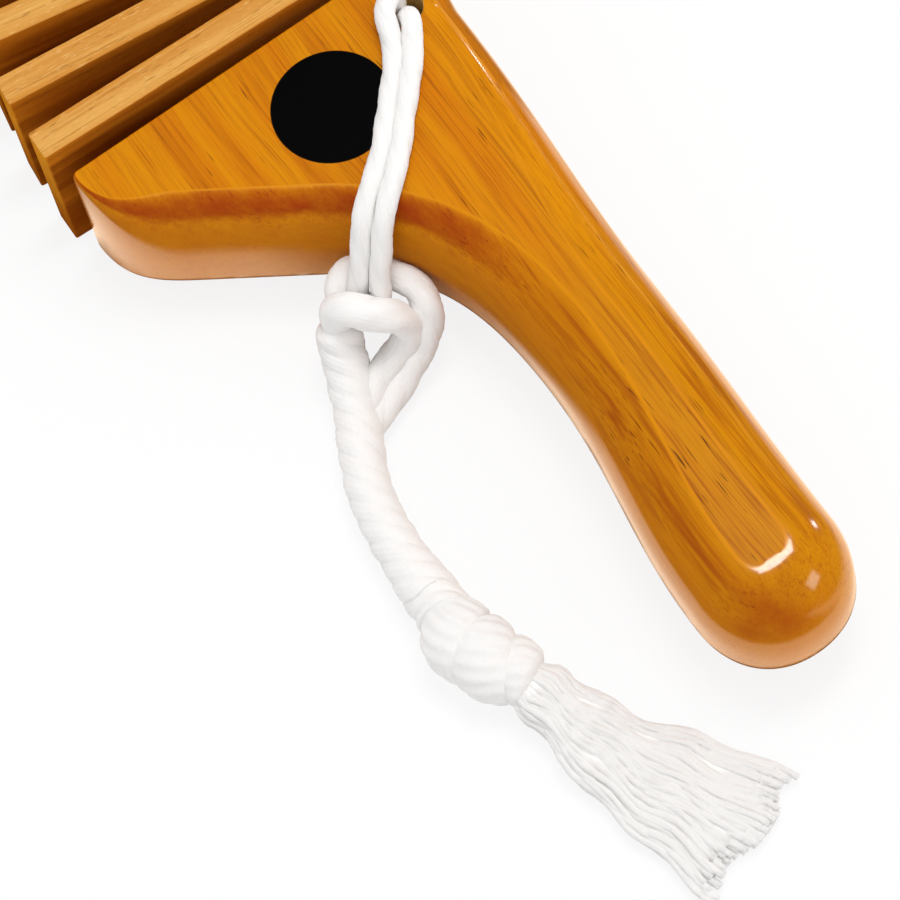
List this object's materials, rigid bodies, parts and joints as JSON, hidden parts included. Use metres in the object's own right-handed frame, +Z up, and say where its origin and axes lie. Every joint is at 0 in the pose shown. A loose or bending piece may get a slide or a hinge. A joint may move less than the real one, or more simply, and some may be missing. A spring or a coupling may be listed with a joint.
{
  "type": "slat clapper",
  "caption": "Hardwood slats threaded on a doubled cord between two boot-shaped handles; the row bends and the slats clap in a wave. A cotton tassel hangs at each handle.",
  "frame": {"origin": "on the table, under the middle of the box of the wooden pieces", "axes": "+X along the instrument from the left handle to the right one, +Y from the grips to the top of the arch, +Z up from the table"},
  "size_m": [0.526, 0.2638, 0.0422],
  "materials": {
    "handle_wood": "clear gloss lacquer over golden orange stain",
    "slat_wood": "satin clear finish, pale edges",
    "cotton": "matt white cotton cord"
  },
  "bodies": {
    "left_handle": {"left_handle": "handle_wood", "string_upper": "cotton", "string_lower": "cotton", "left_loop": "cotton", "left_tassel_rope": "cotton", "left_tassel_eye_front": "cotton", "left_tassel_eye_back": "cotton", "left_tassel_knot": "cotton", "left_tassel_fringe": "cotton"},
    "slat_01": {"slat_01": "slat_wood"},
    "slat_02": {"slat_02": "slat_wood"},
    "slat_03": {"slat_03": "slat_wood"},
    "slat_04": {"slat_04": "slat_wood"},
    "slat_05": {"slat_05": "slat_wood"},
    "slat_06": {"slat_06": "slat_wood"},
    "slat_07": {"slat_07": "slat_wood"},
    "slat_08": {"slat_08": "slat_wood"},
    "slat_09": {"slat_09": "slat_wood"},
    "slat_10": {"slat_10": "slat_wood"},
    "slat_11": {"slat_11": "slat_wood"},
    "slat_12": {"slat_12": "slat_wood"},
    "slat_13": {"slat_13": "slat_wood"},
    "slat_14": {"slat_14": "slat_wood"},
    "slat_15": {"slat_15": "slat_wood"},
    "slat_16": {"slat_16": "slat_wood"},
    "slat_17": {"slat_17": "slat_wood"},
    "slat_18": {"slat_18": "slat_wood"},
    "slat_19": {"slat_19": "slat_wood"},
    "slat_20": {"slat_20": "slat_wood"},
    "slat_21": {"slat_21": "slat_wood"},
    "slat_22": {"slat_22": "slat_wood"},
    "slat_23": {"slat_23": "slat_wood"},
    "slat_24": {"slat_24": "slat_wood"},
    "right_handle": {"right_handle": "handle_wood", "right_loop": "cotton", "right_tassel_rope": "cotton", "right_tassel_eye_front": "cotton", "right_tassel_eye_back": "cotton", "right_tassel_knot": "cotton", "right_tassel_fringe": "cotton"}
  },
  "joints": [
    {"name": "slat_01_swing", "type": "hinge", "parent": "left_handle", "child": "slat_01", "pos_m": [-0.09337, 0.00535, 0], "axis": [0, 0, -1], "range_deg": [-2.9, 6], "deforming": ["string_upper", "string_lower"]},
    {"name": "slat_02_swing", "type": "hinge", "parent": "slat_01", "child": "slat_02", "pos_m": [-0.08766, 0.0123, 0], "axis": [0, 0, -1], "range_deg": [-5.3, 3.6], "deforming": ["string_upper", "string_lower"]},
    {"name": "slat_03_swing", "type": "hinge", "parent": "slat_02", "child": "slat_03", "pos_m": [-0.08143, 0.0188, 0], "axis": [0, 0, -1], "range_deg": [-5.3, 3.6], "deforming": ["string_upper", "string_lower"]},
    {"name": "slat_04_swing", "type": "hinge", "parent": "slat_03", "child": "slat_04", "pos_m": [-0.07472, 0.0248, 0], "axis": [0, 0, -1], "range_deg": [-5.3, 3.6], "deforming": ["string_upper", "string_lower"]},
    {"name": "slat_05_swing", "type": "hinge", "parent": "slat_04", "child": "slat_05", "pos_m": [-0.06757, 0.03027, 0], "axis": [0, 0, -1], "range_deg": [-5.3, 3.6], "deforming": ["string_upper", "string_lower"]},
    {"name": "slat_06_swing", "type": "hinge", "parent": "slat_05", "child": "slat_06", "pos_m": [-0.06002, 0.03517, 0], "axis": [0, 0, -1], "range_deg": [-5.3, 3.6], "deforming": ["string_upper", "string_lower"]},
    {"name": "slat_07_swing", "type": "hinge", "parent": "slat_06", "child": "slat_07", "pos_m": [-0.05212, 0.03948, 0], "axis": [0, 0, -1], "range_deg": [-5.3, 3.6], "deforming": ["string_upper", "string_lower"]},
    {"name": "slat_08_swing", "type": "hinge", "parent": "slat_07", "child": "slat_08", "pos_m": [-0.04391, 0.04316, 0], "axis": [0, 0, -1], "range_deg": [-5.3, 3.6], "deforming": ["string_upper", "string_lower"]},
    {"name": "slat_09_swing", "type": "hinge", "parent": "slat_08", "child": "slat_09", "pos_m": [-0.03544, 0.04621, 0], "axis": [0, 0, -1], "range_deg": [-5.3, 3.6], "deforming": ["string_upper", "string_lower"]},
    {"name": "slat_10_swing", "type": "hinge", "parent": "slat_09", "child": "slat_10", "pos_m": [-0.02677, 0.0486, 0], "axis": [0, 0, -1], "range_deg": [-5.3, 3.6], "deforming": ["string_upper", "string_lower"]},
    {"name": "slat_11_swing", "type": "hinge", "parent": "slat_10", "child": "slat_11", "pos_m": [-0.01793, 0.05032, 0], "axis": [0, 0, -1], "range_deg": [-5.3, 3.6], "deforming": ["string_upper", "string_lower"]},
    {"name": "slat_12_swing", "type": "hinge", "parent": "slat_11", "child": "slat_12", "pos_m": [-0.00899, 0.05135, 0], "axis": [0, 0, -1], "range_deg": [-5.3, 3.6], "deforming": ["string_upper", "string_lower"]},
    {"name": "slat_13_swing", "type": "hinge", "parent": "slat_12", "child": "slat_13", "pos_m": [0, 0.0517, 0], "axis": [0, 0, -1], "range_deg": [-5.3, 3.6], "deforming": ["string_upper", "string_lower"]},
    {"name": "slat_14_swing", "type": "hinge", "parent": "slat_13", "child": "slat_14", "pos_m": [0.00899, 0.05135, 0], "axis": [0, 0, -1], "range_deg": [-5.3, 3.6], "deforming": ["string_upper", "string_lower"]},
    {"name": "slat_15_swing", "type": "hinge", "parent": "slat_14", "child": "slat_15", "pos_m": [0.01793, 0.05032, 0], "axis": [0, 0, -1], "range_deg": [-5.3, 3.6], "deforming": ["string_upper", "string_lower"]},
    {"name": "slat_16_swing", "type": "hinge", "parent": "slat_15", "child": "slat_16", "pos_m": [0.02677, 0.0486, 0], "axis": [0, 0, -1], "range_deg": [-5.3, 3.6], "deforming": ["string_upper", "string_lower"]},
    {"name": "slat_17_swing", "type": "hinge", "parent": "slat_16", "child": "slat_17", "pos_m": [0.03544, 0.04621, 0], "axis": [0, 0, -1], "range_deg": [-5.3, 3.6], "deforming": ["string_upper", "string_lower"]},
    {"name": "slat_18_swing", "type": "hinge", "parent": "slat_17", "child": "slat_18", "pos_m": [0.04391, 0.04316, 0], "axis": [0, 0, -1], "range_deg": [-5.3, 3.6], "deforming": ["string_upper", "string_lower"]},
    {"name": "slat_19_swing", "type": "hinge", "parent": "slat_18", "child": "slat_19", "pos_m": [0.05212, 0.03948, 0], "axis": [0, 0, -1], "range_deg": [-5.3, 3.6], "deforming": ["string_upper", "string_lower"]},
    {"name": "slat_20_swing", "type": "hinge", "parent": "slat_19", "child": "slat_20", "pos_m": [0.06002, 0.03517, 0], "axis": [0, 0, -1], "range_deg": [-5.3, 3.6], "deforming": ["string_upper", "string_lower"]},
    {"name": "slat_21_swing", "type": "hinge", "parent": "slat_20", "child": "slat_21", "pos_m": [0.06757, 0.03027, 0], "axis": [0, 0, -1], "range_deg": [-5.3, 3.6], "deforming": ["string_upper", "string_lower"]},
    {"name": "slat_22_swing", "type": "hinge", "parent": "slat_21", "child": "slat_22", "pos_m": [0.07472, 0.0248, 0], "axis": [0, 0, -1], "range_deg": [-5.3, 3.6], "deforming": ["string_upper", "string_lower"]},
    {"name": "slat_23_swing", "type": "hinge", "parent": "slat_22", "child": "slat_23", "pos_m": [0.08143, 0.0188, 0], "axis": [0, 0, -1], "range_deg": [-5.3, 3.6], "deforming": ["string_upper", "string_lower"]},
    {"name": "slat_24_swing", "type": "hinge", "parent": "slat_23", "child": "slat_24", "pos_m": [0.08766, 0.0123, 0], "axis": [0, 0, -1], "range_deg": [-5.3, 3.6], "deforming": ["string_upper", "string_lower"]},
    {"name": "right_handle_swing", "type": "hinge", "parent": "slat_24", "child": "right_handle", "pos_m": [0.09337, 0.00535, 0], "axis": [0, 0, -1], "range_deg": [-2.9, 6], "deforming": ["string_upper", "string_lower"]}
  ]
}
